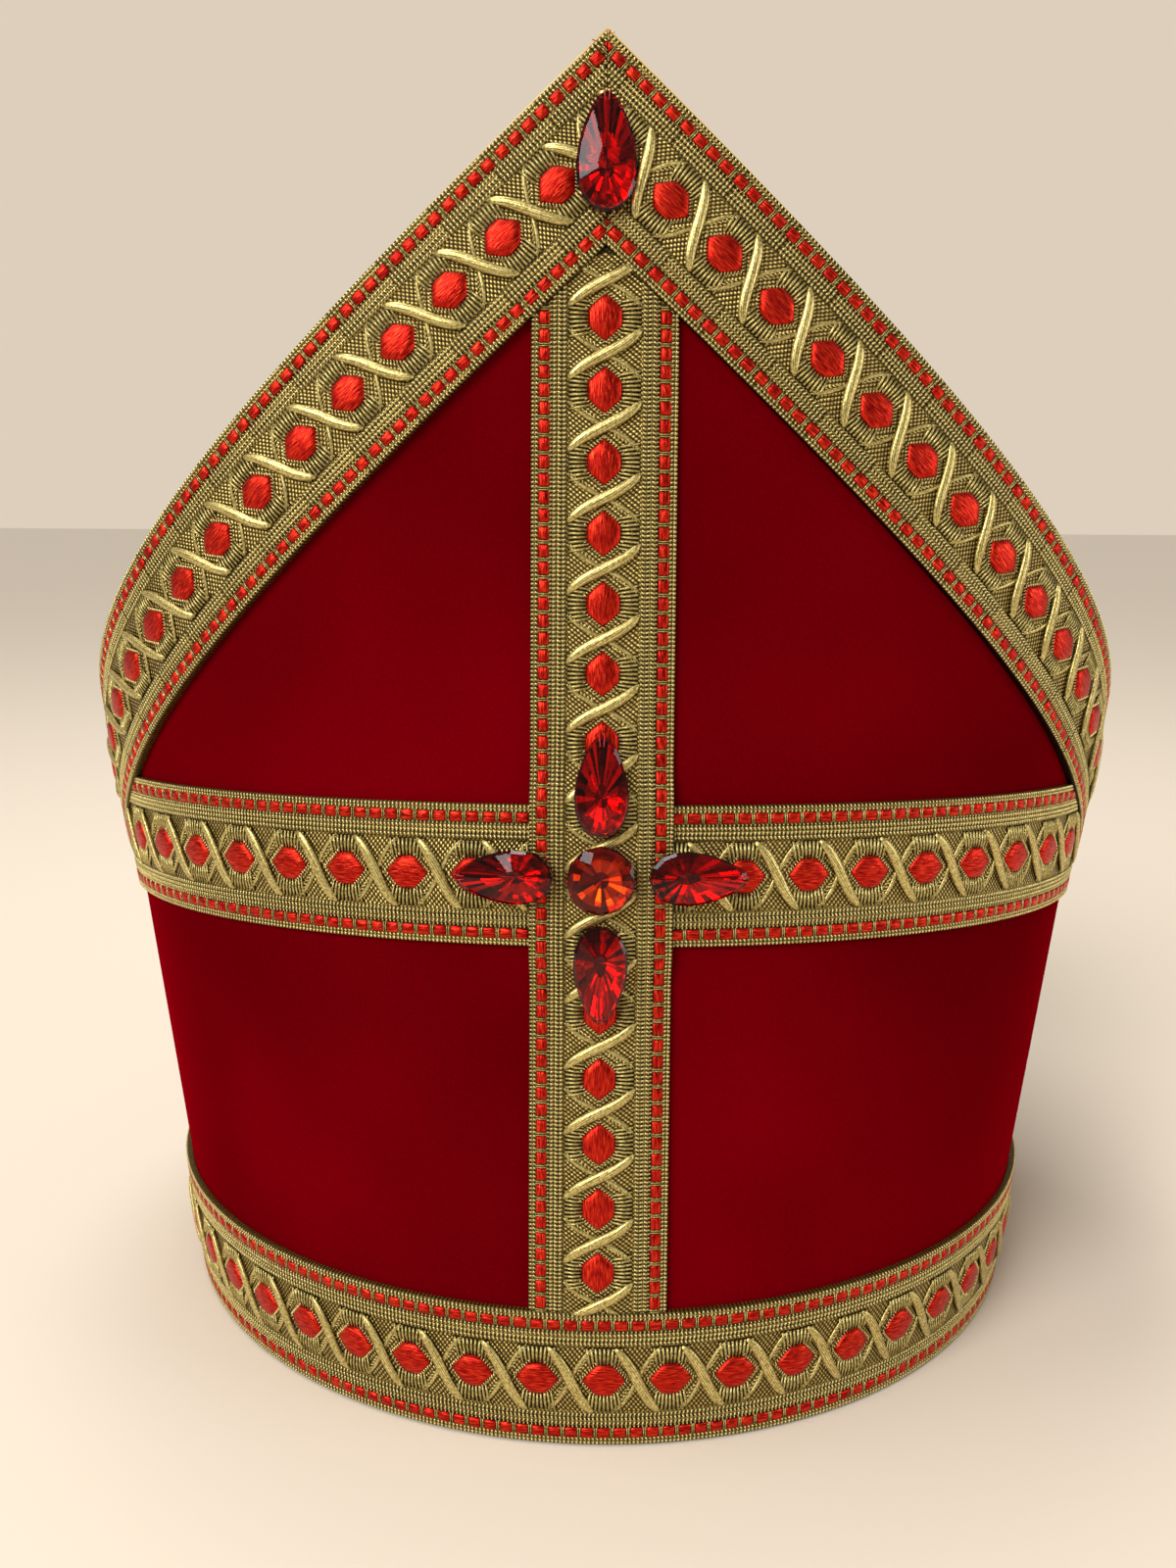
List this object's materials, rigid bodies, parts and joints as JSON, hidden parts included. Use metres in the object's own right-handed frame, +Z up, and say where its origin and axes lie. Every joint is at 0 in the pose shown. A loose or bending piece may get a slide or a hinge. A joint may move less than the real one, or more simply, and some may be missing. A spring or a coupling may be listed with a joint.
{
  "type": "bishop mitre",
  "caption": "Tall folding-peak headdress: two stiff velvet halves rising to points, open between them, edged and crossed with woven galloon and set with faceted red stones on the front.",
  "frame": {"origin": "centre of the head opening's rim plane, at the bottom of the overall box", "axes": "+Z up along the height of the peaks, -Y the front with the stones, +X towards the wearer's left"},
  "size_m": [0.2428, 0.198, 0.2758],
  "materials": {
    "velvet": "cut pile velvet",
    "satin": "satin weave",
    "galloon": "woven metallic thread with red satin squares",
    "ruby_stone": "faceted, foil backed",
    "amber_stone": "faceted, foil backed"
  },
  "bodies": {
    "root": {"front_shell": "velvet", "back_shell": "velvet", "front_lining": "satin", "back_lining": "satin", "base_galloon": "galloon", "front_cross_galloon": "galloon", "back_cross_galloon": "galloon", "front_upright_galloon": "galloon", "back_upright_galloon": "galloon", "front_raked_galloon_right": "galloon", "back_raked_galloon_right": "galloon", "front_raked_galloon_left": "galloon", "back_raked_galloon_left": "galloon", "peak_drop": "ruby_stone", "cross_drop_upper": "ruby_stone", "cross_drop_lower": "ruby_stone", "cross_drop_left": "ruby_stone", "cross_drop_right": "ruby_stone", "cross_round": "amber_stone"}
  },
  "joints": []
}
